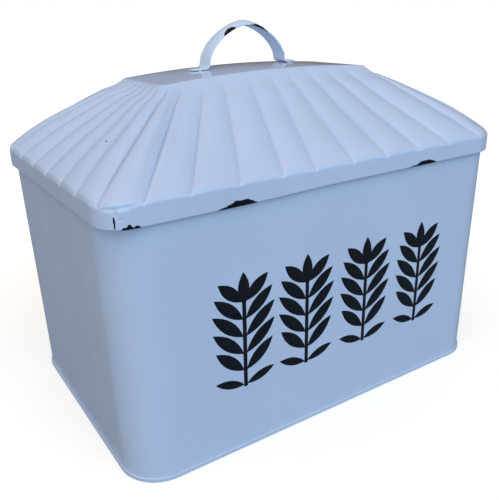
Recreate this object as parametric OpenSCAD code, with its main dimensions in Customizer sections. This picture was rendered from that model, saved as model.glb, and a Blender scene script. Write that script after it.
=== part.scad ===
// Tapered sheet-metal bread bin with a lift-off hipped lid, fluted all round, and a strap handle.
// Millimetres. Origin at the centre of the foot on the table, +X along the length, front towards -Y, +Z up.

/* [Bin] */
// Length of the bin across the outside of the wall at the rim
bin_l = 330; // [280:1:380]
// Width of the bin across the outside of the wall at the rim
bin_w = 222; // [190:1:260]
// Height of the rim above the table
bin_h = 194; // [150:1:230]
// Radius of the bin's upright corners at the rim
bin_corner = 30; // [20:1:40]
// How much further in each wall stands at the foot than at the rim
bin_taper = 2.5; // [0:0.5:4]
// Thickness of all the sheet metal
sheet = 0.7; // [0.5:0.1:1]
// Radius of the rolled rim
curl_r = 1.3; // [1.1:0.1:1.4]
// Height of the seam round the foot
seam_h = 3.8; // [3:0.1:5]
// How far the foot seam stands out from the wall
seam_out = 1.3; // [0.8:0.1:2]

/* [Lid] */
// How far the skirt stands outside the bin's wall
skirt_gap = 3.8; // [3.4:0.1:5]
// Radius of the skirt's left front corner
skirt_corner = 18; // [14:1:22]
// Radius of its other three corners
wide_corner = 34; // [24:1:34]
// Height of the skirt's lower edge above the table
skirt_low = 182.9; // [175:0.1:186]
// Height of the creases' feet above the table
shoulder_z = 194.6; // [194:0.1:197]
// Half length of the top plate
top_half_l = 91; // [80:1:100]
// Half width of the top plate
top_half_w = 34; // [26:0.5:40]
// Height of the top plate's corners above the table
top_z = 246.8; // [235:0.1:260]
// Rise of the top plate's long edges between their corners
top_arch = 4.2; // [0:0.1:6]
// Further rise of the top plate from its long edges to its middle
top_dome = 1.8; // [0:0.1:5]
// How much higher the right end of the top plate stands than its middle would put it
top_tilt = 0.5; // [0:0.1:1]

/* [Flutes] */
// Number of flutes round the lid
flutes = 36; // [24:1:48]
// Height of a flute's crown at the shoulder
crown_low = 1.8; // [0.5:0.1:2]
// Extra height of a flute's crown half way up
crown_mid = 4; // [1:0.1:5]
// Where the first crease stands on the front, right of the middle
crease_start = 10.2; // [0:0.1:20]
// How much fuller the slopes stand round the right end and at the left rear corner
full_lift = 3; // [0:0.5:4]
// How far the creases lean round the top plate
crease_twist = 10; // [0:0.5:14]
// Spread of the creases on the top plate's long edges, as a share of their spread on the skirt
crease_spread = 0.59; // [0.5:0.01:0.6]

/* [Handle] */
// Width of the handle's strap
strap_w = 15; // [10:0.1:20]
// Thickness of the strap
strap_t = 1.8; // [1:0.1:2]
// Half the arch's width across the outside
arch_half = 34.7; // [30:0.1:42]
// Height of the handle's top above the table
arch_top = 284.6; // [275:0.1:290]
// Where the arch stands on the lid, left of the middle
arch_x = -4.3; // [-10:0.1:10]
// Length of each foot
foot_l = 11.5; // [8:0.5:14]

/* [Emblem] */
// Height of the ears of wheat
ear_h = 86; // [60:1:100]
// Height of their lower ends above the table
ear_low = 50.5; // [30:0.5:70]
// Thickness of the paint
paint = 0.15; // [0.1:0.05:0.3]

/* [Hidden] */
$fn = 96;

// Corner centres of the bin, shared by everything that is swept round them
bin_cx = bin_l / 2 - bin_corner;
bin_cy = bin_w / 2 - bin_corner;
// Half length and half width of the skirt, and its corner radii from the left front one on past the right one
skirt_half_l = bin_l / 2 + skirt_gap;
skirt_half_w = bin_w / 2 + skirt_gap;
skirt_radii = [skirt_corner, wide_corner, wide_corner, wide_corner];
foot_r = bin_corner - bin_taper;
lean = atan(bin_taper / bin_h);
curl_z = bin_h - curl_r;
curl_in = curl_r - sheet;
seam_w = sheet + seam_out;
seam_round = 1;
pan_z = 2.6;
pan_step = 1.5;
pan_flat = 12;
pan_slope = 3;
lock_w = 7;
lock_t = 0.9;
hem_h = 6;
hem_lift = 0.1;
skirt_top = 192;
foot_gap = 0.4;
ear_x = [-79, -27, 28, 84];
grain_pairs = 5;
grain_first = 12;
grain_pitch = 13;
grain_l = 33;
grain_w = 8.8;
grain_tilt = 48;
longest_pair = 1.5;
ear_rounding = 0.035;
tip_l = 24;
leaf_tilt = 72;
leaf_l = 25;
leaf_w = 6.6;
stem_w = 3;
plate_corner = 5;
plate_radii = [plate_corner, plate_corner, plate_corner, plate_corner];
flute_steps = 5;
crown_power = 2.2;
// The flute at the right front corner starts further round than the even spacing would put it
corner_pull = 7;
corner_at = 145;
corner_reach = 25;
// Share of the roof's slope taken by the rounded shoulder, and the stations above it
shoulder_t = 0.03;
roof_stations = [0.14, 0.28, 0.44, 0.6, 0.74, 0.84, 0.92, 1];
plate_rings = [1, 0.75, 0.5, 0.25];
// The creases sag a little below a straight slope, most of all just under the top plate
slope_sag = 0.04;
slope_skew = 0.03;
// Where the slopes stand fuller: middle and half length of each stretch round the skirt, and how it fades out
full_right = [282, 92];
full_left = [-385, 10];
full_fade = 60;
collar_from = 0.8;
collar_drop = 1;
arch_roundness = 1.7;
arch_step = 5;
arch_sink = 0.5;
weld_r = 2.2;
weld_bite = 0.2;

// The wall's outside face stands this far from the corner centres at height z
function wall_r(z) = foot_r + bin_taper * z / bin_h;

// Sweeps a profile round four corner centres; its x runs outwards from them and its y runs up
module swept_round(cx, cy) {
    for (turn = [0, 180]) rotate(turn) {
        translate([cx, -cy, 0]) rotate([90, 0, -90]) linear_extrude(2 * cx) children();
        translate([cx, cy, 0]) rotate([90, 0, 0]) linear_extrude(2 * cy) children();
        translate([cx, -cy, 0]) rotate(-90) rotate_extrude(angle = 90) children();
        translate([cx, cy, 0]) rotate_extrude(angle = 90) children();
    }
}

// Sweeps a profile round the skirt, whose corners differ; its x runs outwards from the skirt's outer face
module swept_skirt() {
    for (k = [0:3]) rotate(90 * k) {
        r = skirt_radii[k];
        next = skirt_radii[(k + 1) % 4];
        half = k % 2 == 0 ? skirt_half_l : skirt_half_w;
        out = k % 2 == 0 ? skirt_half_w : skirt_half_l;
        translate([half - next, -out, 0]) rotate([90, 0, -90]) linear_extrude(2 * half - r - next) children();
        translate([r - half, r - out, 0]) rotate(180) rotate_extrude(angle = 90) translate([r, 0]) children();
    }
}

// ---- Bin ----

module wall_profile() {
    difference() {
        polygon([
            [wall_r(seam_h) - sheet, seam_h],
            [wall_r(seam_h), seam_h],
            [wall_r(curl_z), curl_z],
            [wall_r(curl_z) - sheet, curl_z]
        ]);
        curl_place() circle(curl_r);
    }
}

module curl_place() {
    translate([wall_r(curl_z) - sheet + curl_r, curl_z]) children();
}

module body_wall() {
    color("aliceblue") swept_round(bin_cx, bin_cy) wall_profile();
}

module rim_curl() {
    color("aliceblue") swept_round(bin_cx, bin_cy) curl_place() difference() {
        circle(curl_r);
        circle(curl_in);
    }
}

// The folded seam is a flat strip lying on the outside of the back wall
module side_seam() {
    low = seam_h + 1;
    high = curl_z - curl_r - 1;
    color("aliceblue")
        translate([-lock_w / 2, bin_cy, 0]) rotate([90, 0, 90]) linear_extrude(lock_w) polygon([
            [wall_r(low), low],
            [wall_r(low) + lock_t, low],
            [wall_r(high) + lock_t, high],
            [wall_r(high), high]
        ]);
}

// Points of a quarter round, from angle a0 to a1 about a centre
function quarter(centre, r, a0, a1, steps = 6) =
    [for (i = [0:steps]) let (a = a0 + (a1 - a0) * i / steps) centre + r * [cos(a), sin(a)]];

module bottom_seam() {
    inner = wall_r(seam_h) - sheet;
    outer = inner + seam_w;
    color("aliceblue") swept_round(bin_cx, bin_cy) polygon(concat(
        [[inner, 0]],
        quarter([outer - seam_round, seam_round], seam_round, -90, 0),
        quarter([outer - seam_out, seam_h - seam_out], seam_out, 0, 90),
        [[inner, seam_h]]
    ));
}

// The floor panel lies flat near the wall and steps up to a raised middle
module bottom_pan() {
    edge = wall_r(seam_h) - sheet;
    low_r = edge - pan_flat;
    high_r = low_r - pan_slope;
    color("aliceblue") {
        swept_round(bin_cx, bin_cy) polygon([
            [edge, pan_z],
            [edge, pan_z + sheet],
            [low_r, pan_z + sheet],
            [high_r, pan_z + sheet + pan_step],
            [0, pan_z + sheet + pan_step],
            [0, pan_z + pan_step],
            [high_r, pan_z + pan_step],
            [low_r, pan_z]
        ]);
        translate([-bin_cx, -bin_cy, pan_z + pan_step]) cube([2 * bin_cx, 2 * bin_cy, sheet]);
    }
}

// A grain is pointed at both ends: the overlap of two discs
module grain(length, width = grain_w) {
    r = (pow(length, 2) + pow(width, 2)) / 4 / width;
    translate([0, length / 2]) intersection() {
        translate([r - width / 2, 0]) circle(r);
        translate([width / 2 - r, 0]) circle(r);
    }
}

// Pairs of grains up a stem, longest a little below the middle, one grain at the tip and two leaves below.
// Everything starts on the stem's centre line, so an ear is one piece.
module wheat_ear() {
    translate([-stem_w / 2, 0]) square([stem_w, ear_h - tip_l / 2]);
    translate([0, ear_h - tip_l]) grain(tip_l);
    for (side = [-1, 1]) {
        for (i = [0:grain_pairs - 1])
            translate([0, grain_first + i * grain_pitch]) rotate(-side * grain_tilt)
                grain(grain_l * (1 - pow(i - longest_pair, 2) * ear_rounding));
        translate([0, stem_w / 2]) rotate(-side * leaf_tilt) grain(leaf_l, leaf_w);
    }
}

module front_emblem() {
    color("black")
        translate([0, -bin_cy - foot_r, 0]) rotate([90 + lean, 0, 0]) linear_extrude(paint)
            for (x = ear_x) translate([x, ear_low]) wheat_ear();
}

// ---- Lid ----

module lid_skirt() {
    color("aliceblue") swept_skirt() translate([-sheet, skirt_low]) square([sheet, skirt_top - skirt_low]);
}

module skirt_hem() {
    color("aliceblue") swept_skirt() translate([-2 * sheet, skirt_low + hem_lift]) square([sheet, hem_h]);
}

// Rounded rectangle as a loop. p is the distance along it from the middle of the front, positive towards +X,
// as if all its corners had radius r. Each corner's own radius is in radii, in the order of skirt_radii.
function loop_length(half_l, half_w, r) = 4 * (half_l + half_w - 2 * r) + 2 * PI * r;
function wrapped(p, length) = p - length * floor(p / length + 0.5);
function loop_point(p, half_l, half_w, r, radii, inset = 0) =
    let (side = p < 0 ? -1 : 1, q = abs(p), arc = PI * r / 2)
    let (near = radii[p < 0 ? 0 : 1], far = radii[p < 0 ? 3 : 2])
    let (end_mid = half_l - r + arc + half_w - r, back_mid = 2 * end_mid)
    let (near_from = half_l - near, near_to = end_mid - half_w + near)
    let (far_from = end_mid + half_w - far, far_to = back_mid - half_l + far)
    q <= near_from ? [side * q, inset - half_w]
    : q <= near_to ? let (a = 90 * (q - near_from) / (near_to - near_from))
        [side * (half_l - near + (near - inset) * sin(a)), near - half_w - (near - inset) * cos(a)]
    : q <= far_from ? [side * (half_l - inset), q - end_mid]
    : q <= far_to ? let (a = 90 * (q - far_from) / (far_to - far_from))
        [side * (half_l - far + (far - inset) * cos(a)), half_w - far + (far - inset) * sin(a)]
    : [side * (back_mid - q), half_w - inset];

rim_len = loop_length(skirt_half_l, skirt_half_w, skirt_corner);
plate_len = loop_length(top_half_l, top_half_w, plate_corner);

// Where a crease that starts at p on the skirt ends on the top plate's edge. The front and back creases
// spread evenly, and the ones at the corners and ends share what is left of the edge.
function plate_near(q) =
    let (side_end = skirt_half_l - skirt_corner, near = crease_spread * side_end)
    q <= side_end ? crease_spread * q
    : near + (plate_len / 4 - near) * (q - side_end) / (rim_len / 4 - side_end);
function plate_coord(p) =
    let (side = p < 0 ? -1 : 1, q = abs(p))
    side * (q <= rim_len / 4 ? plate_near(q) : plate_len / 2 - plate_near(rim_len / 2 - q));

// Height of the top plate at a point of the plan
function top_surface(xy) =
    let (along = 1 - pow(xy.x / top_half_l, 2), across = 1 - pow(xy.y / top_half_w, 2))
    top_z + top_tilt * xy.x / top_half_l + top_arch * along + top_dome * across * along;

// Columns of points run up the lid, a few to each flute
columns = flutes * flute_steps;
function column_p(i) =
    let (p = wrapped(crease_start + rim_len / columns * i, rim_len))
    p + corner_pull * exp(-pow((p - corner_at) / corner_reach, 2));
function crown(i) = 1 - pow(abs(2 * (i % flute_steps) / flute_steps - 1), crown_power);
function crown_height(t) = crown_low * (1 - t) + crown_mid * 4 * t * (1 - t);
function near_stretch(p, stretch) = exp(-pow(max(0, abs(p - stretch[0]) - stretch[1]) / full_fade, 2));
function fullness(p, t) =
    full_lift * 4 * t * (1 - t) * (near_stretch(p, full_right) + near_stretch(p, full_left));
function collar(t) = t < collar_from ? 0 : collar_drop * sin(180 * (t - collar_from) / (1 - collar_from));
function rise(t) = t - 4 * t * (1 - t) * (slope_sag + slope_skew * (2 * t - 1));

// Ends of column i: on the skirt, and on the top plate's edge
function low_end(i, inset) =
    loop_point(column_p(i), skirt_half_l, skirt_half_w, skirt_corner, skirt_radii, inset);
function high_end(i) =
    let (p = wrapped(plate_coord(column_p(i)) + crease_twist, plate_len))
    loop_point(p, top_half_l, top_half_w, plate_corner, plate_radii);

// Point of the roof on column i, a share t of the way up. depth is 0 outside and the sheet thickness inside.
function roof_point(i, t, depth) =
    let (low = low_end(i, depth), high = high_end(i), xy = low + t * (high - low))
    [xy.x, xy.y, shoulder_z + (top_surface(high) - shoulder_z) * rise(t) + crown(i) * crown_height(t)
        + fullness(column_p(i), t) - collar(t) - depth];

// Point of the rounded shoulder between skirt and roof, v from 0 on the skirt to 1 on the roof
function shoulder_point(i, v, depth) =
    let (foot = low_end(i, depth), turn = roof_point(i, 0, depth), end = roof_point(i, shoulder_t, depth))
    pow(1 - v, 2) * [foot.x, foot.y, skirt_top] + 2 * v * (1 - v) * turn + v * v * end;

function roof_rows(depth) = concat(
    [for (v = [0:3]) [for (i = [0:columns - 1]) shoulder_point(i, v / 3, depth)]],
    [for (t = roof_stations) [for (i = [0:columns - 1]) roof_point(i, t, depth)]]
);
function plate_rows(depth) =
    [for (k = plate_rings) [for (i = [0:columns - 1])
        let (xy = k * high_end(i)) [xy.x, xy.y, top_surface(xy) - depth]]];

// Two triangles for each cell between two rings of points that start at a and b
function strip(a, b, n) =
    [for (i = [0:n - 1]) let (j = (i + 1) % n) each [[a + i, b + i, b + j], [a + i, b + j, a + j]]];

// The roof is a closed shell between outer and inner rings of points, from the skirt up to the top plate
module lid_roof() {
    n = columns;
    outer = roof_rows(0);
    inner = roof_rows(sheet);
    rows = len(outer);
    last = rows - 1;
    color("aliceblue") polyhedron(
        points = concat([for (row = outer) each row], [for (row = inner) each row]),
        faces = concat(
            [for (r = [0:last - 1]) each strip(r * n, (r + 1) * n, n)],
            [for (r = [0:last - 1]) each strip((rows + r + 1) * n, (rows + r) * n, n)],
            strip(rows * n, 0, n),
            strip(last * n, (rows + last) * n, n)
        )
    );
}

// The top plate closes at its middle with a fan of triangles on either side
module lid_top_plate() {
    n = columns;
    outer = plate_rows(0);
    inner = plate_rows(sheet);
    rows = len(outer);
    middle = [0, 0, top_surface([0, 0])];
    hub = 2 * rows * n;
    last = rows - 1;
    color("aliceblue") polyhedron(
        points = concat([for (row = outer) each row], [for (row = inner) each row],
            [middle, middle - [0, 0, sheet]]),
        faces = concat(
            [for (r = [0:last - 1]) each strip(r * n, (r + 1) * n, n)],
            [for (r = [0:last - 1]) each strip((rows + r + 1) * n, (rows + r) * n, n)],
            strip(rows * n, 0, n),
            [for (i = [0:n - 1]) [last * n + i, hub, last * n + (i + 1) % n]],
            [for (i = [0:n - 1]) [(rows + last) * n + i, (rows + last) * n + (i + 1) % n, hub + 1]]
        )
    );
}

// ---- Handle ----

function foot_level(x) = top_surface([arch_x + x, 0]) + foot_gap;
arch_base = foot_level(0) + strap_t - arch_sink;

// Points of the arch from left to right, an oval that is a little more pointed than a circle
function arch_points(inset) =
    [for (a = [180:-arch_step:0])
        let (c = cos(a), s = sin(a), k = 2 / arch_roundness)
        let (across = (arch_half - inset) * sign(c) * pow(abs(c), k))
        [across, arch_base + (arch_top - arch_base - inset) * pow(s, k)]];

module strap_outline() {
    reach = arch_half + foot_l;
    inside = arch_half - strap_t;
    inner = arch_points(strap_t);
    polygon(concat(
        [[-reach, foot_level(-reach)], [-reach, foot_level(-reach) + strap_t]],
        [[-arch_half, foot_level(-arch_half) + strap_t]],
        arch_points(0),
        [[arch_half, foot_level(arch_half) + strap_t]],
        [[reach, foot_level(reach) + strap_t], [reach, foot_level(reach)]],
        [[inside, foot_level(inside)]],
        [for (i = [1:len(inner)]) inner[len(inner) - i]],
        [[-inside, foot_level(-inside)]]
    ));
}

module handle_strap() {
    color("aliceblue")
        translate([arch_x, strap_w / 2, 0]) rotate([90, 0, 0]) linear_extrude(strap_w) strap_outline();
}

module foot_welds() {
    spread = strap_w / 4;
    at = arch_half + foot_l / 2;
    color("silver") for (x = [-at, at], y = [-spread, spread])
        translate([arch_x + x, y, top_surface([arch_x + x, y]) - weld_bite])
            cylinder(r = weld_r, h = foot_gap + weld_bite);
}

body_wall();
side_seam();
rim_curl();
bottom_pan();
bottom_seam();
front_emblem();
lid_skirt();
skirt_hem();
lid_roof();
lid_top_plate();
handle_strap();
foot_welds();
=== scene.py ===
"""Bread bin with a lift-off fluted lid: finished surfaces, paint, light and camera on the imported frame."""

import math
import random

import bmesh
import bpy
import numpy as np
from mathutils import Matrix, Vector, noise


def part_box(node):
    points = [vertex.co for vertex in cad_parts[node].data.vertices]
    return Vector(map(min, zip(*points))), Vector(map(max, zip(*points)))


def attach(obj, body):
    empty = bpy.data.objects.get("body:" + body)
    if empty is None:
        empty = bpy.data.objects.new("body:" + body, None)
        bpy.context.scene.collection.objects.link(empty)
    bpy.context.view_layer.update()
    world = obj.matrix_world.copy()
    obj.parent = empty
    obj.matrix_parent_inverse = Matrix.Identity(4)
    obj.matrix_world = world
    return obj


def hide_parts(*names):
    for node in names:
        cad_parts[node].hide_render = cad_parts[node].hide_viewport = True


MM = 0.001
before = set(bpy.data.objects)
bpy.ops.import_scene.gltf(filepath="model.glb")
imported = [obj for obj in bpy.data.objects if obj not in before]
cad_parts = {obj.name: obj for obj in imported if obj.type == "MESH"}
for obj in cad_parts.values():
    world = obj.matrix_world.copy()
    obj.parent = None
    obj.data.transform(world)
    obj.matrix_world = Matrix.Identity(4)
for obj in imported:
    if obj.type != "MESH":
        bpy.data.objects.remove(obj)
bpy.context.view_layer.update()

# ---------------------------------------------------------------- sizes, in millimetres


def corners(node):
    """Lowest and highest corner of a CAD node, in millimetres."""
    low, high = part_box(node)
    return np.array(low) / MM, np.array(high) / MM


skirt_box = corners("lid_skirt")
seam_box = corners("bottom_seam")
curl_box = corners("rim_curl")
hem_box = corners("skirt_hem")
strap_box = corners("handle_strap")
lock_box = corners("side_seam")
pan_box = corners("bottom_pan")

SHEET = 0.7
# Bin: corner radius at the foot and at the rim, half length and half width at the rim
FOOT_R, RIM_R = 27.5, 30.0
BIN_L, BIN_W = 165.0, 111.0
BIN_RADII = (RIM_R,) * 4
RIM_Z = curl_box[1][2]
SEAM_H = seam_box[1][2]
# Radius of the roll at the rim and its sheet, and how round the seam at the foot is
CURL_R, CURL_SHEET, SEAM_ROUND = 1.3, 0.6, 0.85
# Floor panel: how far its middle is lifted and domed, how far inside the wall it steps up, width of the step
PAN_LIFT, PAN_DOME, PAN_STEP_IN, PAN_STEP_W = 1.5, 0.25, 12, 3
# Skirt: half length and half width, corner radii from the left front one on, lower and upper edge
SKIRT_L, SKIRT_W = skirt_box[1][:2]
SKIRT_RADII = (18.0, 34.0, 34.0, 34.0)
SKIRT_LOW, SKIRT_TOP = skirt_box[0][2], skirt_box[1][2]
# Its lower edge hangs a little at the left of the front: how much, where and how far round
HANG, HANG_AT, HANG_REACH = 1.2, -105, 70
# Shoulder: height where the slopes start, and the share of the slope that the bevel takes up
SHOULDER_Z, SHOULDER_T = 194.6, 0.03
# Top plate: half length and half width, corner radii, height of its edge, tilt, arch and dome
PLATE_L, PLATE_W = 91.0, 34.0
PLATE_RADII = (5.0,) * 4
PLATE_Z, PLATE_TILT, PLATE_ARCH, PLATE_DOME = 246.8, 0.5, 4.2, 1.8
FLUTES = 36
# First crease from the middle of the front, how far the tops turn, how closely they stand along the plate
CREASE_START, CREASE_TWIST, CREASE_SPREAD = 10.2, 10.0, 0.59
# Creases near the right front corner stand further round: how far, where, and over what stretch
CORNER_PULL, CORNER_AT, CORNER_REACH = 7.0, 145.0, 25.0
# Crown of a flute above its creases, at the shoulder and half way up
CROWN_LOW, CROWN_MID = 2.2, 4.0
# The front's flutes are shallower half way up, and its creases are finer and carry less painted shade than
# the others
SHALLOW_REACH, SHALLOW_SHARE = 135, 0.6
FINE_REACH, FINE_GROOVE, FULL_GROOVE, FINE_SHADE, FULL_SHADE = 150, 0.1, 0.3, 0.15, 0.7
SHADE_W = 1.3
# The left end's flutes are deeper, and their painted shade grows darker towards the crease at their rear
DEEP_FROM, DEEP_TO, DEEP_GAIN = -350, -185, 1.3
SHADE_FROM, SHADE_TO, SHADE = -345, -160, 0.75
# Where the slopes stand fuller: middle and half length of each stretch round the skirt
FULL_STRETCHES = ((282, 92), (-385, 10))
FULL_LIFT, FULL_FADE = 3.0, 60.0
# Handle: middle and half length of the arch, thickness of CAD's strap, and how much thinner this one is
ARCH_X, ARCH_HALF, STRAP_T, STRAP_THIN = -4.3, 34.7, 1.8, 0.6
# Gap under its feet, how far below their top the arch starts, power of its curve, radius of the bends at the
# feet, rounding of the strap's edges
FOOT_GAP, ARCH_SINK, ARCH_POWER, BEND_R, STRAP_EDGE = 0.4, 0.5, 2 / 1.7, 4.5, 0.35
# Each foot narrows towards its end: over what length, and how wide a share is left
FOOT_TAPER, FOOT_END = 10, 0.4
# How much lower the top's long edges lie than the middle of the strap, and how fast that fades downwards
STRAP_BOW, BOW_FADE = 2.4, 1.6
# Value of a chip field where the paint is whole
WHOLE = 9.0

# ---------------------------------------------------------------- mesh helpers


def loop_length(half_l, half_w, radii):
    return 4 * (half_l + half_w - 2 * radii[0]) + 2 * math.pi * radii[0]


def wrapped(p, length):
    return p - length * np.floor(p / length + 0.5)


def loop_point(p, half_l, half_w, radii, inset=0.0):
    """Plan points of a rounded rectangle at distances p from the middle of the front, positive towards +X.

    radii are those of the left front, right front, right rear and left rear corner. Distances are measured
    as if all had the first."""
    p = np.asarray(p, float)
    r = radii[0]
    arc = math.pi * r / 2
    side, q = np.where(p < 0, -1.0, 1.0), np.abs(p)
    near, far = np.where(p < 0, radii[0], radii[1]), np.where(p < 0, radii[3], radii[2])
    end_mid = half_l - r + arc + half_w - r
    near_from, near_to = half_l - near, end_mid - half_w + near
    far_from, far_to = end_mid + half_w - far, 2 * end_mid - half_l + far
    a = math.pi / 2 * (q - near_from) / (near_to - near_from)
    b = math.pi / 2 * (q - far_from) / (far_to - far_from)
    zones = [q <= near_from, q <= near_to, q <= far_from, q <= far_to]
    x = np.select(zones, [q, half_l - near + (near - inset) * np.sin(a), half_l - inset + 0 * q,
                          half_l - far + (far - inset) * np.cos(b)], 2 * end_mid - q)
    y = np.select(zones, [inset - half_w + 0 * q, near - half_w - (near - inset) * np.cos(a), q - end_mid,
                          half_w - far + (far - inset) * np.sin(b)], half_w - inset + 0 * q)
    return np.stack([side * x, y], -1)


def loop_stations(half_l, half_w, radii, step, corner_steps):
    """Distances round a rounded rectangle, evenly spaced on each side and on each corner."""
    r = radii[0]
    arc = math.pi * r / 2
    front, end = half_l - r, 2 * (half_w - r)
    marks, at = [], 0.0
    for length, n in ((front, round(front / step)), (arc, corner_steps), (end, round(end / step)),
                      (arc, corner_steps), (front, round(front / step))):
        marks += [at + length * k / n for k in range(n)]
        at += length
    half = np.array(marks[1:])
    return np.concatenate([[0.0], half, [at], -half[::-1]])


def level(xy, z):
    """Plan points at height z, a number or one for each point."""
    return np.concatenate([xy, np.broadcast_to(np.asarray(z, float), xy.shape[:1])[:, None]], 1)


def finish_mesh(obj, sharp=None):
    bm = bmesh.new()
    bm.from_mesh(obj.data)
    bmesh.ops.recalc_face_normals(bm, faces=bm.faces)
    bm.to_mesh(obj.data)
    bm.free()
    obj.data.shade_smooth()
    if sharp:
        obj.data.set_sharp_from_angle(angle=math.radians(sharp))


def new_object(name, points, faces, sharp=None):
    mesh = bpy.data.meshes.new(name)
    mesh.from_pydata([tuple(p) for p in np.asarray(points) * MM], [], faces)
    obj = bpy.data.objects.new(name, mesh)
    bpy.context.scene.collection.objects.link(obj)
    finish_mesh(obj, sharp)
    return obj


def arc_points(x, z, r, start, end, n):
    """n points round (x, z), from start to end in degrees."""
    return [(x + r * math.cos(a), z + r * math.sin(a)) for a in np.radians(np.linspace(start, end, n))]


def skin_faces(rows, n, closed_rows):
    """Quads between rings of n points that follow each other."""
    faces = []
    for r in range(rows if closed_rows else rows - 1):
        a, b = r * n, (r + 1) % rows * n
        for i in range(n):
            j = (i + 1) % n
            faces.append((a + i, a + j, b + j, b + i))
    return faces


def skin(name, rings, closed_rows=False, poles=(), sharp=None):
    """A mesh of quads through rings of points.

    poles gives the middle points that close the first and the last ring."""
    n = len(rings[0])
    points = list(np.concatenate(rings))
    faces = skin_faces(len(rings), n, closed_rows)
    for pole, ring in zip(poles, (0, len(rings) - 1)):
        hub = len(points)
        points.append(np.asarray(pole, float))
        faces += [(ring * n + i, ring * n + (i + 1) % n, hub) for i in range(n)]
    return new_object(name, points, faces, sharp)


def swept_ring(name, profile, step=6.0, corner_steps=20, wave=None, sharp=None):
    """Sweeps a closed profile of (distance from the bin's corner centres, height) round the bin."""
    p = loop_stations(BIN_L, BIN_W, BIN_RADII, step, corner_steps)
    rings = []
    for out, z in profile:
        extra = wave(p, z) if wave else 0.0
        rings.append(level(loop_point(p, BIN_L, BIN_W, BIN_RADII, RIM_R - out - extra), z))
    return skin(name, rings, closed_rows=True, sharp=sharp)


def set_attribute(obj, name, values):
    obj.data.attributes.new(name, "FLOAT", "POINT").data.foreach_set("value", np.asarray(values, np.float32))


def ripple(points, size, seed):
    """Smooth noise from -1 to 1 at points in millimetres."""
    shift = Vector((seed * 17.3, seed * 5.1, seed * 9.7))
    return np.array([noise.noise(Vector(p) / size + shift) for p in points])


# ---------------------------------------------------------------- chipped paint

# Chips in the paint of the lid's lower edge: where each starts and ends round the skirt, its height above
# the edge, and where along it the paint has come off highest
EDGE_CHIPS = [
    (-108, -68.5, 3.1, 0.66), (54, 91.5, 3.0, 0.6), (-161, -153.5, 1.6, 0.75), (-156, -151, 3.0, 0.5),
    (-152.5, -145, 1.7, 0.35), (-293, -275, 0.8, 0.5), (236, 252, 1.4, 0.3), (384, 408, 2.0, 0.6),
    (-398, -380, 1.6, 0.5),
]


def edge_chip_field(p, z):
    """Distance outside the nearest chip of the skirt's edge, in millimetres, negative inside."""
    field = np.full(len(p), WHOLE)
    for start, end, high, peak in EDGE_CHIPS:
        u = (p - start) / (end - start)
        slope = np.where(u < peak, u / peak, (1 - u) / (1 - peak))
        steep = np.minimum(1, 1.35 * np.abs(slope) ** np.where(u < peak, 1.8, 0.6))
        bare = np.where(slope > 0, steep, slope)
        field = np.minimum(field, z - SKIRT_LOW + 0.8 - (high + 0.8) * bare)
    return field


# ---------------------------------------------------------------- lid pressing

rng = random.Random(11)
RIM_LEN = loop_length(SKIRT_L, SKIRT_W, SKIRT_RADII)
PLATE_LEN = loop_length(PLATE_L, PLATE_W, PLATE_RADII)
# Columns of points across a flute, closer at its creases. The flute on the left front corner has more of
# them, for the folds there
IN_FLUTE = [0, 0.012, 0.028, 0.05, 0.085, 0.14, 0.22, 0.33, 0.45, 0.57, 0.69, 0.8, 0.885, 0.935, 0.965,
            0.985]
MORE_IN_FLUTE = [0.18, 0.275, 0.3, 0.36, 0.39, 0.42, 0.48, 0.51, 0.54, 0.6, 0.65, 0.745, 0.845]
FOLDED_FLUTE = 30
phases = [sorted(IN_FLUTE + MORE_IN_FLUTE) if k == FOLDED_FLUTE else IN_FLUTE for k in range(FLUTES)]
flute_id = np.concatenate([np.full(len(inside), k) for k, inside in enumerate(phases)])
phase = np.concatenate([np.array(inside, float) for inside in phases])
# The creases don't stand quite evenly: how far further round each stands at its foot and at its top, by
# number. Those that the photograph doesn't show are shifted at random
UNEVEN = {
    0: (-2.5, -8), 1: (-2.5, -7.5), 2: (-0.5, -8), 3: (0, -8), 4: (0.5, -3), 25: (2, 0), 26: (3, 0),
    27: (4, 3), 28: (4, 3.5), 29: (3, 3.5), 30: (3, 3), 31: (-1, -2), 32: (-2.5, -4), 33: (0, -9),
    34: (1, -3.5), 35: (-4, -2.5),
}
crease_shift = np.array([UNEVEN.get(k, (rng.uniform(-2, 2), rng.uniform(-3, 3))) for k in range(FLUTES)])
flute_gain = np.array([rng.uniform(0.88, 1.14) for _ in range(FLUTES)])
flute_mid = wrapped(CREASE_START + RIM_LEN / FLUTES * (np.arange(FLUTES) + 0.5), RIM_LEN)
flute_gain = flute_gain * np.where((flute_mid > DEEP_FROM) & (flute_mid < DEEP_TO), DEEP_GAIN, 1)
shift = crease_shift[flute_id].T * (1 - phase) + crease_shift[(flute_id + 1) % FLUTES].T * phase
even_p = wrapped(CREASE_START + RIM_LEN / FLUTES * (flute_id + phase), RIM_LEN)
even_p = even_p + CORNER_PULL * np.exp(-(((even_p - CORNER_AT) / CORNER_REACH) ** 2))
column_p, top_p = even_p + shift[0], even_p + shift[1]
half_way = np.where(np.abs(even_p) < SHALLOW_REACH, SHALLOW_SHARE, 1.0)
# Across its width a flute is a broad arch, steeper on one side, with a narrow groove in each crease
arch_section = (1 - np.abs(2 * phase**0.8 - 1) ** 2.2) * flute_gain[flute_id]
groove_section = (1 - np.exp(-phase / 0.03)) * (1 - np.exp(-(1 - phase) / 0.022))
fine = np.abs(even_p) < FINE_REACH
groove_share = np.where(fine, FINE_GROOVE, FULL_GROOVE)
# painted shade on the left end's flutes, darkest next to the crease at their rear
end_shade = np.where((even_p > SHADE_FROM) & (even_p < SHADE_TO), SHADE * (1 - phase) ** 1.5, 0)
crease_gap = np.minimum(phase, 1 - phase) * RIM_LEN / FLUTES


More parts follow.
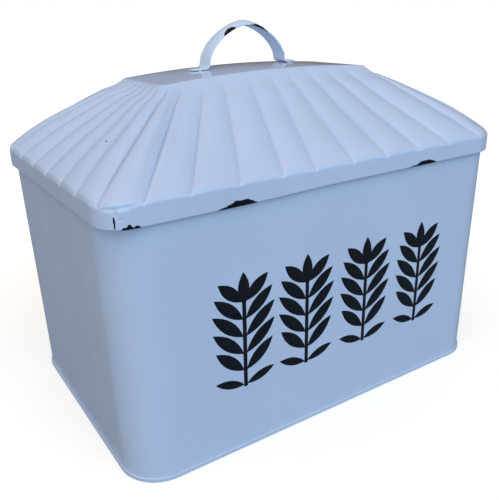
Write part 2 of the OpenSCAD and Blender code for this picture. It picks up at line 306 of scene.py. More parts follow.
def plate_near(q):
    """plate_coord for the quarter next to the middle of the front."""
    side_end = SKIRT_L - SKIRT_RADII[0]
    near = CREASE_SPREAD * side_end
    return np.where(q <= side_end, CREASE_SPREAD * q,
                    near + (PLATE_LEN / 4 - near) * (q - side_end) / (RIM_LEN / 4 - side_end))


def plate_coord(p):
    """Distance round the plate's edge of a crease that starts at p round the skirt."""
    q = np.abs(p)
    behind = PLATE_LEN / 2 - plate_near(RIM_LEN / 2 - q)
    return np.sign(p) * np.where(q <= RIM_LEN / 4, plate_near(q), behind)


def top_surface(x, y):
    along, across = 1 - (x / PLATE_L) ** 2, 1 - (y / PLATE_W) ** 2
    return PLATE_Z + PLATE_TILT * x / PLATE_L + PLATE_ARCH * along + PLATE_DOME * across * along


def rise(t):
    """The slope's own height, from 0 to 1, a little hollow."""
    return t - 4 * t * (1 - t) * (0.04 + 0.03 * (2 * t - 1))


def crown_height(t):
    """Height of the flutes' crowns, a column of the lid at a share t of the way up its slope."""
    low, middle = CROWN_LOW * (1 - t), CROWN_MID * (1 - abs(2 * t - 1) ** 2.5) * half_way
    groove = 0.42 * low + groove_share * middle
    return groove * groove_section + (low + middle - groove) * arch_section


def fullness(t):
    """How much fuller the slope stands at a share t of the way up."""
    near = 0
    for at, half in FULL_STRETCHES:
        beyond = np.maximum(0, np.abs(column_p - at) - half)
        near = near + np.exp(-((beyond / FULL_FADE) ** 2))
    return FULL_LIFT * 4 * t * (1 - t) * near


def collar(t):
    """The dip just below the top plate."""
    return 0.0 if t < 0.8 else math.sin(math.pi * (t - 0.8) / 0.2)


high_xy = loop_point(wrapped(plate_coord(top_p) + CREASE_TWIST, PLATE_LEN), PLATE_L, PLATE_W, PLATE_RADII)
high_z = top_surface(high_xy[:, 0], high_xy[:, 1])


def skirt_ring(inset, z):
    return level(loop_point(column_p, SKIRT_L, SKIRT_W, SKIRT_RADII, inset), z)


def roof_ring(t, depth):
    low = loop_point(column_p, SKIRT_L, SKIRT_W, SKIRT_RADII, depth)
    z = SHOULDER_Z + (high_z - SHOULDER_Z) * rise(t) + crown_height(t) + fullness(t) - collar(t) - depth
    return level(low + t * (high_xy - low), z)


def shoulder_ring(v, depth):
    """A ring of the narrow bevel from the skirt, at v = 0, to the slopes, at v = 1."""
    foot, turn, end = skirt_ring(depth, SKIRT_TOP), roof_ring(0, depth), roof_ring(SHOULDER_T, depth)
    low, high = foot + 0.6 * (turn - foot), turn + 0.5 * (end - turn)
    k = np.interp(v, [0, 0.3, 0.7, 1], [0, 1, 2, 3])
    stops = (foot, low, high, end)
    i = min(int(k), 2)
    return stops[i] + (k - i) * (stops[i + 1] - stops[i])


def plate_ring(k, depth):
    xy = k * high_xy
    return level(xy, top_surface(xy[:, 0], xy[:, 1]) - depth)


# Knocks in the left front corner: distance round the skirt, height, half width and half height, how far out
FOLDS = [
    (-160.5, 192.0, 1.2, 2.6, -1.0), (-164.0, 194.3, 4.5, 0.7, -0.9), (-156.0, 194.9, 6.0, 0.7, -0.8),
    (-157.6, 188.4, 1.6, 0.8, -0.3), (-161.0, 186.0, 1.0, 1.0, -0.25), (-171.5, 195.0, 4.0, 0.7, 0.5),
]


def fold_corner(points, p):
    """Pushes the lid's sheet in and out at its knocks."""
    push = np.zeros(len(points))
    for at, z, wide, high, out in FOLDS:
        push += out * np.exp(-(((p - at) / wide) ** 2) - ((points[:, 2] - z) / high) ** 2)
    centre = np.array([SKIRT_RADII[0] - SKIRT_L, SKIRT_RADII[0] - SKIRT_W])
    away = points[:, :2] - centre
    away /= np.linalg.norm(away, axis=1)[:, None]
    points[:, :2] += away * np.minimum(push, 0)[:, None]
    points[:, 2] += 0.6 * push * (points[:, 2] > SKIRT_TOP)


# Rows of points on the top plate, from its middle outwards, and on the bevel, from the top down
PLATE_ROWS = (0.04, 0.12, 0.25, 0.4, 0.55, 0.7, 0.82, 0.91, 0.965)
SHOULDER_ROWS = (1, 0.86, 0.76, 0.66, 0.6, 0.5, 0.4, 0.34, 0.26, 0.16, 0)


def lid_pressing():
    """Plate, slopes, shoulder, skirt and folded hem as one sheet with an inner and an outer face."""
    rings, painted_shade = [], []
    # painted shade: darker along each crease and on the rear side of the left end's flutes
    flute_shade = np.exp(-((crease_gap / SHADE_W) ** 2)) * np.where(fine, FINE_SHADE, FULL_SHADE) + end_shade

    def add(ring, share=0.0):
        rings.append(ring)
        painted_shade.append(flute_shade * share)

    # outer face, from the middle of the plate down to the skirt's edge
    for k in PLATE_ROWS:
        add(plate_ring(k, 0))
    for t in np.linspace(1, SHOULDER_T, 48)[:-1]:
        add(roof_ring(t, 0), 4 * t * (1 - t))
    for v in SHOULDER_ROWS:
        add(shoulder_ring(v, 0), 0.2 * v)
    for z in np.linspace(SKIRT_TOP, SKIRT_LOW + SHEET, 22)[1:]:
        add(skirt_ring(0, z))
    # the edge turned round and folded up inside the skirt
    for a in np.linspace(0, math.pi, 8)[1:]:
        add(skirt_ring(SHEET * (1 - math.cos(a)), SKIRT_LOW + SHEET - SHEET * math.sin(a)))
    hem_top = hem_box[1][2]
    for z in np.linspace(SKIRT_LOW + SHEET, hem_top - 0.3, 5)[1:]:
        add(skirt_ring(2 * SHEET, z))
    add(skirt_ring(1.75 * SHEET, hem_top - 0.05))
    add(skirt_ring(1.3 * SHEET, hem_top))
    add(skirt_ring(1.05 * SHEET, hem_top - 0.15))
    # inner face, from the fold's top up to the middle of the plate
    add(skirt_ring(SHEET, hem_top + 0.1))
    add(skirt_ring(SHEET, SKIRT_TOP))
    for v in np.linspace(0, 1, 6)[1:]:
        add(shoulder_ring(v, SHEET), 0.2 * v)
    for t in np.linspace(SHOULDER_T, 1, 24)[1:]:
        add(roof_ring(t, SHEET), 4 * t * (1 - t))
    for k in (0.93, 0.8, 0.6, 0.4, 0.2, 0.06):
        add(plate_ring(k, SHEET))
    points = np.concatenate(rings)
    round_p = np.tile(column_p, len(rings))
    uneven = 0.16 * ripple(points * [1, 1, 0.3], 26, 1)
    points[:, 2] += uneven * np.clip((points[:, 2] - SKIRT_TOP) / 6, 0, 1)
    fold_corner(points, round_p)
    chip = edge_chip_field(round_p, points[:, 2])
    down = np.clip((SKIRT_TOP - points[:, 2]) / (SKIRT_TOP - SKIRT_LOW), 0, 1)
    points[:, 2] -= HANG * down * np.exp(-(((round_p - HANG_AT) / HANG_REACH) ** 4))
    rings = np.split(points, len(rings))
    middle = top_surface(0, 0)
    obj = skin("lid_pressing", rings, poles=((0, 0, middle), (0, 0, middle - SHEET)))
    set_attribute(obj, "chip", np.append(chip, [WHOLE, WHOLE]))
    set_attribute(obj, "painted_shade", np.append(np.concatenate(painted_shade), [0, 0]))
    plate_rings = np.where(np.arange(len(rings)) < len(PLATE_ROWS), 1.0, 0.0)
    set_attribute(obj, "plate", np.append(np.repeat(plate_rings, len(column_p)), [1, 0]))
    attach(obj, "lid")
    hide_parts("lid_skirt", "skirt_hem", "lid_roof", "lid_top_plate")
    return obj


# ---------------------------------------------------------------- handle

STRAP_REACH = (strap_box[1][0] - strap_box[0][0]) / 2
STRAP_HALF_W = strap_box[1][1]
ARCH_BASE = top_surface(ARCH_X, 0) + FOOT_GAP + STRAP_T - ARCH_SINK
ARCH_H = strap_box[1][2] - STRAP_T / 2 - ARCH_BASE
# Chips along the arch's front edge: middle and half length in degrees round the arch, width, and which face
STRAP_CHIPS = [(124, 12, 3.1, "outer"), (68, 19, 4.6, "inner"), (7, 2.5, 0.8, "both")]


def smooth_line(points, radius, steps):
    """Rounds the corners of a line of points, except where it hardly turns."""
    out = [points[0]]
    for a, b, c in zip(points, points[1:], points[2:]):
        before, after = np.linalg.norm(a - b), np.linalg.norm(c - b)
        u, v = (a - b) / before, (c - b) / after
        angle = math.acos(np.clip(u @ v, -1, 1))
        if angle > math.radians(165):
            out.append(b)
            continue
        # a bend takes up less than half of the stretches beside it
        reach = min(radius / math.tan(angle / 2), 0.48 * before, 0.48 * after)
        for s in np.linspace(0, 1, steps):
            out.append((1 - s) ** 2 * (b + reach * u) + 2 * s * (1 - s) * b + s * s * (b + reach * v))
    return np.array(out + [points[-1]])


def foot_point(x):
    """Point of the strap's line on a foot, at x from the middle of the arch."""
    return np.array((x, top_surface(ARCH_X + x, 0) + FOOT_GAP + STRAP_T / 2 - STRAP_THIN))


def strap_line():
    """The strap's line from foot to foot, as points of (distance from the middle of the arch, height)."""
    arch_w = ARCH_HALF - STRAP_T / 2
    line = [foot_point(-STRAP_REACH), foot_point(-arch_w)]
    for a in np.linspace(math.pi, 0, 61)[4:-4]:
        c, s = math.cos(a), math.sin(a)
        along = arch_w * math.copysign(abs(c) ** ARCH_POWER, c)
        line.append(np.array((along, ARCH_BASE + ARCH_H * s**ARCH_POWER)))
    line += [foot_point(arch_w), foot_point(STRAP_REACH)]
    return smooth_line(line, BEND_R, 12)


def strap_section():
    """Outline of the strap's section, as points of (distance across, height over its line)."""
    out, high = STRAP_HALF_W - STRAP_EDGE, STRAP_T / 2 - STRAP_EDGE
    low = STRAP_THIN - STRAP_T / 2 + STRAP_EDGE
    outline = []
    for across, up, start in ((out, high, 0), (-out, high, 90), (-out, low, 180), (out, low, 270)):
        for a in np.radians(start + np.linspace(0, 90, 5)):
            outline.append((across + STRAP_EDGE * math.cos(a), up + STRAP_EDGE * math.sin(a)))
    dense = []
    for a, b in zip(outline, outline[1:] + outline[:1]):
        steps = max(1, int(abs(a[0] - b[0]) / 1.2))
        dense += [(a[0] + (b[0] - a[0]) * s / steps, a[1] + (b[1] - a[1]) * s / steps) for s in range(steps)]
    return np.array(dense)


def strap_chip_field(points, up):
    """Distance outside the nearest chip of the strap's paint. up is each point's height in the section."""
    turn = np.degrees(np.arctan2(points[:, 2] - ARCH_BASE, points[:, 0] - ARCH_X))
    on_face = {"outer": up > 0, "inner": up < 0.2, "both": np.full(len(up), True)}
    fields = []
    for at, half, wide, face in STRAP_CHIPS:
        away = STRAP_HALF_W + points[:, 1] - wide * (1 - ((turn - at) / half) ** 2)
        fields.append(away + np.where(on_face[face], 0, 3))
    return np.where(points[:, 2] < ARCH_BASE + 4, WHOLE, np.minimum.reduce(fields))


def handle_strap():
    """Strap bent into an arch with a flat foot at each end, and bowed across its width at the top."""
    line, section = strap_line(), strap_section()
    along = np.gradient(line, axis=0)
    along /= np.linalg.norm(along, axis=1)[:, None]
    normal = np.stack([-along[:, 1], along[:, 0]], 1)
    travelled = np.concatenate([[0], np.cumsum(np.linalg.norm(np.diff(line, axis=0), axis=1))])
    bow = STRAP_BOW * (section[:, 0] / STRAP_HALF_W) ** 2
    rings = []
    for point, n, s in zip(line, normal, travelled):
        up = section[:, 1] - bow * np.clip((point[1] - ARCH_BASE) / ARCH_H, 0, 1) ** BOW_FADE
        end = min(1, min(s, travelled[-1] - s) / FOOT_TAPER)
        narrow = FOOT_END + (1 - FOOT_END) * math.sin(math.pi / 2 * end) ** 0.8
        ring = (ARCH_X + point[0] + n[0] * up, section[:, 0] * narrow, point[1] + n[1] * up)
        rings.append(np.stack(ring, 1))
    points = np.concatenate(rings)
    obj = skin("handle_strap_bent", rings, poles=[rings[0].mean(0), rings[-1].mean(0)], sharp=50)
    chip = strap_chip_field(points, np.tile(section[:, 1], len(rings)))
    set_attribute(obj, "chip", np.append(chip, [WHOLE, WHOLE]))
    set_attribute(obj, "painted_shade", np.zeros(len(points) + 2))
    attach(obj, "lid")
    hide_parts("handle_strap")
    return obj


# ---------------------------------------------------------------- bin


def wall_r(z):
    """Distance of the wall from the centres of its corners at height z."""
    return FOOT_R + (RIM_R - FOOT_R) * z / RIM_Z


def wall_wave(p, z):
    """How far the wall stands out from flat, where the sheet is not quite true."""
    grow = min(1.0, max(0.0, min(z - SEAM_H, RIM_Z - 4 - z) / 25))
    points = np.stack([p, np.full(len(p), float(z)), np.zeros(len(p))], 1)
    return 0.22 * grow * ripple(points, 75, 3)


def bin_wall():
    """Tapered wall as one sheet with an inner and an outer face."""
    high = RIM_Z - CURL_R
    zs = np.concatenate([[SEAM_H - 0.4], np.linspace(SEAM_H, high, 34)])
    profile = [(wall_r(z), z) for z in zs] + [(wall_r(high) - SHEET / 2, high + 0.2)]
    profile += [(wall_r(z) - SHEET, z) for z in zs[::-1]]
    obj = swept_ring("bin_wall", profile, step=7, corner_steps=24, wave=wall_wave, sharp=40)
    plain_attributes(obj)
    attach(obj, "bin")
    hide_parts("body_wall")
    return obj


def plain_attributes(obj):
    """Whole paint all over, with no painted shade."""
    count = len(obj.data.vertices)
    set_attribute(obj, "chip", np.full(count, WHOLE))
    set_attribute(obj, "painted_shade", np.zeros(count))


def rim_curl():
    """The wall's upper edge rolled outwards into an open curl."""
    z = RIM_Z - CURL_R
    centre = wall_r(z) - SHEET + CURL_R
    outer = arc_points(centre, z, CURL_R, 180, -115, 26)
    inner = arc_points(centre, z, CURL_R - CURL_SHEET, -115, 180, 22)
    obj = swept_ring("rim_rolled", outer + inner, step=9, corner_steps=20, sharp=50)
    plain_attributes(obj)
    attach(obj, "bin")
    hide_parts("rim_curl")
    return obj


def foot_seam():
    """Double seam: floor and wall rolled together into a bead."""
    inner = wall_r(SEAM_H) - SHEET
    outer = seam_box[1][0] - (BIN_L - RIM_R)
    profile = [(inner, 0.25), (inner + 0.25, 0.0), (outer - 0.9, 0.0)]
    profile += arc_points(outer - SEAM_ROUND, SEAM_ROUND, SEAM_ROUND, -80, 0, 6)
    profile += [(outer - 0.03, 1.6), (outer, 2.2)]
    profile += arc_points(outer - SEAM_ROUND, SEAM_H - 0.95, SEAM_ROUND, 0, 80, 6)
    profile += [(outer - 1.15, SEAM_H - 0.22), (wall_r(SEAM_H) + 0.02, SEAM_H - 0.5), (inner, SEAM_H - 0.5)]
    obj = swept_ring("foot_double_seam", profile, step=9, corner_steps=28, sharp=50)
    plain_attributes(obj)
    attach(obj, "bin")
    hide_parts("bottom_seam")
    return obj


def floor_pan():
    """Floor panel with a rounded step up to its raised middle."""
    edge = wall_r(SEAM_H) - SHEET
    low = pan_box[0][2]
    steps = [(edge, 0.0), (edge - 4, 0.0), (edge - 10, 0.0)]
    for s in np.linspace(0, 1, 9):
        steps.append((edge - PAN_STEP_IN - PAN_STEP_W * s, PAN_LIFT * (3 * s * s - 2 * s**3)))
    steps += [(6, PAN_LIFT), (0.8, PAN_LIFT)]
    p = loop_stations(BIN_L, BIN_W, BIN_RADII, 9, 16)
    faces_of = []
    for depth in (SHEET, 0.0):
        rings = []
        for out, up in steps:
            rings.append(level(loop_point(p, BIN_L, BIN_W, BIN_RADII, RIM_R - out), low + depth + up))
        core = rings[-1][:, :2]
        for k in (0.8, 0.6, 0.4, 0.2, 0.05):
            rings.append(level(core * k, low + depth + PAN_LIFT + PAN_DOME * (1 - k * k)))
        faces_of.append(rings)
    rings = faces_of[0][::-1] + faces_of[1]
    top = low + PAN_LIFT + PAN_DOME
    obj = skin("floor_panel", rings, poles=((0, 0, top + SHEET), (0, 0, top)), sharp=50)
    plain_attributes(obj)
    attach(obj, "bin")
    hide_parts("bottom_pan")
    return obj


def lock_seam():
    """Folded seam down the middle of the back wall, with soft edges and a pressed line beside the fold."""
    half = lock_box[1][0]
    bottom, top = lock_box[0][2], lock_box[1][2]
    section = [
        (-half, -0.1), (-half, 0.35), (-half + 0.25, 0.72), (-half + 0.7, 0.88), (-1.4, 0.9), (-1.0, 0.74),
        (-0.6, 0.9), (half - 0.9, 0.9), (half - 0.35, 0.8), (half - 0.05, 0.5), (half, -0.1),
    ]
    back_middle = np.full(1, loop_length(BIN_L, BIN_W, BIN_RADII) / 2)
    rings = []
    for z in np.linspace(bottom, top, 40):
        # it flattens at both ends
        ends = 0.35 + 0.65 * min(1, (z - bottom) / 2, (top - z) / 2)
        back = BIN_W - RIM_R + wall_r(z) + wall_wave(back_middle, z)[0]
        rings.append(np.array([(x, back + d * ends, z) for x, d in section]))
    obj = skin("lock_seam", rings, poles=[r.mean(0) for r in (rings[0], rings[-1])], sharp=45)
    plain_attributes(obj)
    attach(obj, "bin")
    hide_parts("side_seam")
    return obj


# ---------------------------------------------------------------- painted ears of wheat

EAR_X = [-79, -27, 28, 84]
EAR_H, EAR_LOW = 86.0, 50.5
# The grain at the top, then the pairs below it: how many, lean, pitch, height of the lowest, longest length
GRAIN_W, TOP_GRAIN = 8.8, 24
PAIRS, PAIR_LEAN, PAIR_PITCH, PAIR_LOW, PAIR_LENGTH = 5, 48, 13, 12.9, 33
# The leaves at the foot: lean, height, length and width
LEAF_LEAN, LEAF_LOW, LEAF_LENGTH, LEAF_W = 72, 1.6, 24, 6.6
# Half width of the stem, and how far grains and leaves start from its middle
STEM_HALF, GRAIN_OFF = 1.5, 0.9
# How thick the paint is, and how deep it starts in the wall
PAINT, PAINT_ROOT = 0.12, -0.03


def grain_outline(x, z, tilt, length, width):
    """Outline and middle line of a grain pointed at both ends.

    Its lower point is at (x, z), and it leans tilt degrees to the right."""
    s = np.linspace(0, 1, 9)
    half = width / 2 * (1 - (2 * s - 1) ** 2)
    right = np.stack([half, s * length], 1)
    left = np.stack([-half, s * length], 1)[1:-1][::-1]
    spine = np.stack([0 * s, s * length], 1)[1:-1]
    a = math.radians(tilt)
    turn = np.array([[math.cos(a), -math.sin(a)], [math.sin(a), math.cos(a)]])
    return [pts @ turn + (x, z) for pts in (np.concatenate([right, left]), spine)]


def wall_face(xz, lift):
    """Points of the front wall, lift outside its paint."""
    out = np.array([wall_r(z) + wall_wave(np.array([x]), z)[0] for x, z in xz]) + lift
    return np.stack([xz[:, 0], RIM_R - BIN_W - out, xz[:, 1]], 1)


def painted_ears():
    """Each grain is a thin closed pad of paint on the wall, a little proud along its middle."""
    points, faces = [], []

    def pad(outline, spine):
        n, m = len(outline), len(spine)
        centre = outline.mean(0)
        start = len(points)
        points.extend(wall_face(outline, PAINT_ROOT))
        points.extend(wall_face(outline, PAINT * 0.6))
        points.extend(wall_face(centre + (outline - centre) * 0.965, PAINT))
        points.extend(wall_face(spine, PAINT + 0.02))
        for low in (start, start + n):
            faces.extend((low + i, low + (i + 1) % n, low + n + (i + 1) % n, low + n + i) for i in range(n))
        top, mid = start + 2 * n, start + 3 * n
        # the right side runs up from the lower point, the left side runs back down
        right = [top + i for i in range(m + 2)]
        left = [top] + [top + n - 1 - i for i in range(m)] + [top + m + 1]
        middle = [mid + i for i in range(m)]
        for side, flip in ((right, False), (left, True)):
            for i in range(m - 1):
                quad = (side[i + 1], side[i + 2], middle[i + 1], middle[i])
                faces.append(quad[::-1] if flip else quad)
            low, high = (side[0], side[1], middle[0]), (side[m], side[m + 1], middle[-1])
            faces.append(low[::-1] if flip else low)
            faces.append(high[::-1] if flip else high)
        faces.append(tuple(start + i for i in range(n))[::-1])

    for x in EAR_X:
        pad(*grain_outline(x, EAR_LOW + EAR_H - TOP_GRAIN, 0, TOP_GRAIN, GRAIN_W))
        for side in (-1, 1):
            off = x + side * GRAIN_OFF
            for i in range(PAIRS):
                length = PAIR_LENGTH * (1 - (i - 1.5) ** 2 * 0.035) - 1.3
                low = EAR_LOW + PAIR_LOW + i * PAIR_PITCH
                pad(*grain_outline(off, low, side * PAIR_LEAN, length, GRAIN_W))
            pad(*grain_outline(off, EAR_LOW + LEAF_LOW, side * LEAF_LEAN, LEAF_LENGTH, LEAF_W))
        stem = np.linspace(EAR_LOW, EAR_LOW + EAR_H - 14, 24)
        outline = np.array([(x + STEM_HALF, z) for z in stem] + [(x - STEM_HALF, z) for z in stem[::-1]])
        start = len(points)
        points.extend(wall_face(outline, PAINT_ROOT))
        points.extend(wall_face(outline, PAINT))
        n = len(outline)
        for i in range(n):
            j = (i + 1) % n
            faces.append((start + i, start + j, start + n + j, start + n + i))
        for i in range(len(stem) - 1):
            quad = (start + i, start + i + 1, start + n - 2 - i, start + n - 1 - i)
            faces.append(quad[::-1])
            faces.append(tuple(k + n for k in quad))
    obj = new_object("painted_ears", points, faces, sharp=40)
    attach(obj, "bin")
    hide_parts("front_emblem")
    return obj


# ---------------------------------------------------------------- node trees


class Nodes:
    """Short way to wire a node tree."""

    def __init__(self, tree):
        self.tree = tree

    def add(self, kind, inputs=(), **settings):
        node = self.tree.nodes.new(kind)
        for key, value in settings.items():
            setattr(node, key, value)
        for key, value in dict(inputs).items():
            self.join(value, node.inputs[key])
        return node

    def join(self, value, socket):
        if isinstance(value, bpy.types.NodeSocket):
            self.tree.links.new(value, socket)
        else:
            socket.default_value = value

    def math(self, operation, a, b):
        return self.add("ShaderNodeMath", {0: a, 1: b}, operation=operation).outputs[0]

    def vector(self, operation, inputs, output="Vector"):
        return self.add("ShaderNodeVectorMath", inputs, operation=operation).outputs[output]

    def ramp(self, value, low, high, to_low=0.0, to_high=1.0, shape="LINEAR"):
        inputs = {"Value": value, "From Min": low, "From Max": high, "To Min": to_low, "To Max": to_high}
        return self.add("ShaderNodeMapRange", inputs, interpolation_type=shape).outputs["Result"]


class Material(Nodes):
    """A material with one main shader."""

    def __init__(self, name):
        self.material = bpy.data.materials.new(name)
        self.material.use_nodes = True
        super().__init__(self.material.node_tree)
        self.shader = self.tree.nodes["Principled BSDF"]

    def feed(self, inputs):
        """Sets or links inputs of the main shader."""
        for key, value in inputs.items():
            self.join(value, self.shader.inputs[key])

    def place(self):
        return self.add("ShaderNodeTexCoord").outputs["Object"]

    def noise(self, scale, detail=2.0, rough=0.5):
        inputs = {"Vector": self.place(), "Scale": scale, "Detail": detail, "Roughness": rough}
        return self.add("ShaderNodeTexNoise", inputs).outputs["Fac"]

    def swing(self, scale, detail, rough, size):
        """Noise that swings about zero."""
        return self.math("MULTIPLY", self.math("SUBTRACT", self.noise(scale, detail, rough), 0.5), size)

    def mix(self, factor, a, b):
        node = self.add("ShaderNodeMix", data_type="RGBA")
        self.join(factor, node.inputs["Factor"])
        self.join(a, node.inputs[6])
        self.join(b, node.inputs[7])
        return node.outputs[2]

    def distance(self, place):
        """Distance in metres from a place given in millimetres.

        Heights count for little, so that the place need not lie exactly in the surface."""
        away = self.vector("SUBTRACT", {0: self.place(), 1: Vector(place) * MM})
        flat = self.vector("MULTIPLY", {0: away, 1: (1, 1, 0.12)})
        return self.vector("LENGTH", {0: flat}, "Value")

    def attribute(self, name):
        return self.add("ShaderNodeAttribute", attribute_name=name).outputs["Fac"]

    def bump(self, height, strength, distance, under=None):
        inputs = {"Height": height, "Strength": strength, "Distance": distance}
        if under:
            inputs["Normal"] = under
        return self.add("ShaderNodeBump", inputs).outputs["Normal"]


# ---------------------------------------------------------------- materials

# Two small specks where the paint is through: place in millimetres, radius in metres
SPECKS = [((-138.0, -50.8, 217.0), 0.0007), ((-160.5, -112.0, 187.5), 0.0007)]
WHITE = (0.55, 0.635, 0.80, 1)
WHITE_DEEP = (0.525, 0.605, 0.77, 1)
# The handle's white is a lighter copy of the body's paint: painted light for the brighter light the strap
# catches
HANDLE_LIT_WHITE = (0.66, 0.735, 0.875, 1)
HANDLE_LIT_DEEP = (0.63, 0.705, 0.85, 1)
# Colour of the painted shade in the lid's creases and on its left end's flutes
CREASE_SHADE_COLOUR = (0.46, 0.48, 0.57, 1)
BLACK = (0.004, 0.005, 0.009, 1)
BLACK_WORN = (0.010, 0.012, 0.018, 1)
STEEL, STEEL_LIGHT = (0.42, 0.42, 0.44, 1), (0.6, 0.6, 0.62, 1)
FLOOR_PALE, FLOOR_PALER = (0.93, 0.93, 0.93, 1), (0.95, 0.95, 0.95, 1)
FLOOR_TINT, FLOOR_GLOW = (1, 0.94, 0.76, 1), 0.36
GROUND = (0.25, 0.26, 0.28, 1)


def enamel_paint(name, white, deep_white):
    """White paint, a little cloudy, with painted shade in the valleys and black where it is chipped off."""
    n = Material(name)
    colour = n.mix(n.ramp(n.noise(14, 3), 0.35, 0.65), white, deep_white)
    # painted shade from the lid's attribute, patchy, darkens the paint in the creases
    shade_amount = n.math("MULTIPLY", n.attribute("painted_shade"), n.ramp(n.noise(45, 3), 0.35, 0.7, 0.2, 0.5))
    colour = n.mix(shade_amount, colour, CREASE_SHADE_COLOUR)
    # the chips' outlines are ragged
    ragged = n.math("ADD", n.swing(520, 3, 0.6, 1.6), n.swing(150, 1, 0.5, 1.8))
    edge = n.math("ADD", n.attribute("chip"), ragged)
    bare = n.ramp(edge, 0.12, -0.05)
    for place, size in SPECKS:
        bare = n.math("MAXIMUM", bare, n.ramp(n.distance(place), size, size * 0.7))
    # the top plate is smoother than the rest, and mirrors the handle's feet
    plain = n.math("SUBTRACT", 1.0, n.math("MULTIPLY", n.attribute("plate"), 0.75))
    rough = n.math("MULTIPLY", n.ramp(n.noise(90, 3), 0.3, 0.7, 0.15, 0.2), plain)
    peel = n.bump(n.math("MULTIPLY", n.noise(1100, 2), plain), 0.05, 0.0004)
    sheet = n.bump(n.math("MULTIPLY", n.noise(38, 2), plain), 0.12, 0.0016, peel)
    n.feed({
        "Base Color": n.mix(bare, colour, BLACK),
        "Roughness": n.math("ADD", rough, n.math("MULTIPLY", bare, 0.4)),
        "Specular IOR Level": n.ramp(bare, 0, 1, 0.5, 0.12),
        "Normal": n.bump(n.ramp(edge, -0.1, 0.3), 0.6, 0.0002, sheet),
    })
    return n.material


def emblem_paint():
    n = Material("black_printed_paint")
    n.feed({
        "Base Color": n.mix(n.ramp(n.noise(320, 4), 0.3, 0.75), BLACK, BLACK_WORN),
        "Roughness": n.ramp(n.noise(140, 3), 0.3, 0.7, 0.34, 0.5),
        "Specular IOR Level": 0.16,
        "Normal": n.bump(n.noise(1400, 2), 0.1, 0.0002),
    })
    return n.material


def weld_metal():
    n = Material("bare_weld_metal")
    n.feed({
        "Base Color": n.mix(n.noise(900, 3), STEEL, STEEL_LIGHT),
        "Metallic": 1.0,
        "Roughness": n.ramp(n.noise(700, 2), 0.3, 0.7, 0.35, 0.55),
        "Normal": n.bump(n.noise(1500, 3), 0.3, 0.0003),
    })
    return n.material


def floor_material():
    """Pale to look at; what it throws back on the bin is the light of a darker ground."""
    n = Material("pale_floor")
    n.feed({
        "Base Color": n.mix(n.noise(3, 2), FLOOR_PALE, FLOOR_PALER),
        "Roughness": 0.9,
        "Specular IOR Level": 0.1,
        "Emission Color": FLOOR_TINT,
        "Emission Strength": FLOOR_GLOW,
    })
    ground = n.add("ShaderNodeBsdfDiffuse", {"Color": GROUND}).outputs[0]
    seen = n.add("ShaderNodeLightPath").outputs["Is Camera Ray"]
    both = n.add("ShaderNodeMixShader", {0: seen, 1: ground, 2: n.shader.outputs[0]})
    n.join(both.outputs[0], n.tree.nodes["Material Output"].inputs["Surface"])
    return n.material


# ---------------------------------------------------------------- stage, light, camera

# Half the floor's length and width, in metres
FLOOR_HALF = 12.0


def stage():
    """Plain square floor."""
    mesh = bpy.data.meshes.new("floor")
    square = [(x * FLOOR_HALF, y * FLOOR_HALF, 0) for x, y in ((-1, -1), (1, -1), (1, 1), (-1, 1))]
    mesh.from_pydata(square, [], [(0, 1, 2, 3)])
    floor = bpy.data.objects.new("floor", mesh)
    bpy.context.scene.collection.objects.link(floor)
    mesh.materials.append(floor_material())


# Soft light: direction it comes from, cosine where it starts, cosine where it is full, colour
AROUND = [
    ((0, 0, 1), -1.5, -1, (0.15, 0.07, 0)),
    ((0, 0, 1), 0.3, 1, (0.36, 0.22, 0.09)),
]
LOW = [
    ((0, -1, 0.25), 0.35, 1, (0.42, 0.95, 1.52)),
    ((-1, -1, 0.35), 0.35, 1, (0.6, 0.82, 0.9)),
    ((-1, 1, 0.35), 0.35, 1, (0.28, 0.4, 0.44)),
]
HIGH = [
    ((0, -1, 1), 0.5, 1, (0.39, 0.23, 0.08)),
    ((1, 0, 1), 0.5, 1, (0.05, 0.17, 0.26)),
    ((0, 1, 1), 0.5, 1, (0.05, 0.21, 0.47)),
    ((-1, 0, 1), 0.5, 1, (0.08, 0, 0)),
]


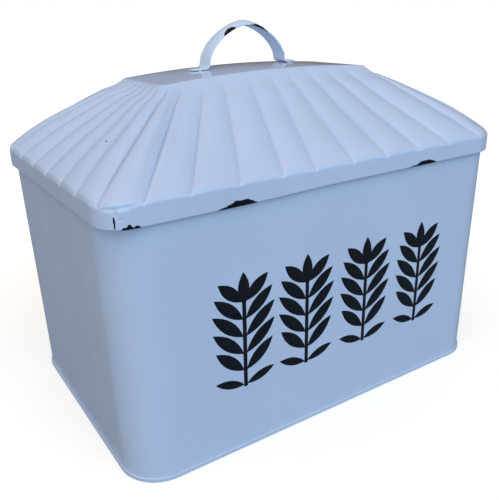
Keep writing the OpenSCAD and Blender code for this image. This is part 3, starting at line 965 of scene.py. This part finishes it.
def light():
    """Soft light from the background: cool from the front, neutral from the left, warmer from above.

    The camera sees plain white behind the object."""
    world = bpy.data.worlds.new("soft_studio")
    bpy.context.scene.world = world
    world.use_nodes = True
    n = Nodes(world.node_tree)
    direction = n.add("ShaderNodeTexCoord").outputs["Generated"]
    total = (0, 0, 0)
    for axis, low, high, colour in AROUND + LOW + HIGH:
        cosine = n.vector("DOT_PRODUCT", {0: direction, 1: Vector(axis).normalized()}, "Value")
        part = n.vector("SCALE", {0: colour, "Scale": n.ramp(cosine, low, high, shape="SMOOTHSTEP")})
        total = n.vector("ADD", {0: total, 1: part})
    lit = n.tree.nodes["Background"]
    n.join(total, lit.inputs["Color"])
    white = n.add("ShaderNodeBackground", {"Color": (1, 1, 1, 1)})
    seen = n.add("ShaderNodeLightPath").outputs["Is Camera Ray"]
    both = n.add("ShaderNodeMixShader", {0: seen, 1: lit.outputs[0], 2: white.outputs[0]})
    n.join(both.outputs[0], n.tree.nodes["World Output"].inputs["Surface"])


# The camera's turn round the bin, tilt and roll in degrees, the height of the point that it turns round, how
# far back, to the right and up it stands from there, in millimetres, and its lens
VIEW_TURN, VIEW_TILT, VIEW_ROLL = -32.43, 21.45, -1.64
VIEW_Z, VIEW_BACK, VIEW_RIGHT, VIEW_UP = 120, 518.94, -3.18, -20.36
LENS = 43.80


def camera():
    """The camera stands half a metre from the bin, left of its front and about as high as its handle."""
    azimuth, elevation, roll = (math.radians(a) for a in (VIEW_TURN, VIEW_TILT, VIEW_ROLL))
    flat = math.cos(elevation)
    back = Vector((math.sin(azimuth) * flat, -math.cos(azimuth) * flat, math.sin(elevation)))
    right = Vector((math.cos(azimuth), math.sin(azimuth), 0))
    up = back.cross(right)
    x_axis = right * math.cos(roll) + up * math.sin(roll)
    y_axis = -right * math.sin(roll) + up * math.cos(roll)
    place = (back * VIEW_BACK + right * VIEW_RIGHT + up * VIEW_UP + Vector((0, 0, VIEW_Z))) * MM
    data = bpy.data.cameras.new("camera")
    data.sensor_width = 36.0
    data.lens = LENS
    data.clip_start, data.clip_end = 0.01, 100
    cam = bpy.data.objects.new("camera", data)
    bpy.context.scene.collection.objects.link(cam)
    turn = Matrix((x_axis, y_axis, back)).transposed().to_4x4()
    cam.matrix_world = Matrix.Translation(place) @ turn
    bpy.context.scene.camera = cam


# ---------------------------------------------------------------- putting it together

enamel = enamel_paint("white_enamel_paint", WHITE, WHITE_DEEP)
for piece in (lid_pressing(), bin_wall(), rim_curl(), foot_seam(), floor_pan(), lock_seam()):
    piece.data.materials.append(enamel)
# the handle gets the lighter copy of the paint, painted light
handle_strap().data.materials.append(enamel_paint("white_handle_paint_lit", HANDLE_LIT_WHITE, HANDLE_LIT_DEEP))
painted_ears().data.materials.append(emblem_paint())
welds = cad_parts["foot_welds"]
welds.data.materials.clear()
welds.data.materials.append(weld_metal())
stage()
light()
camera()
bpy.context.scene.view_settings.view_transform = "Standard"
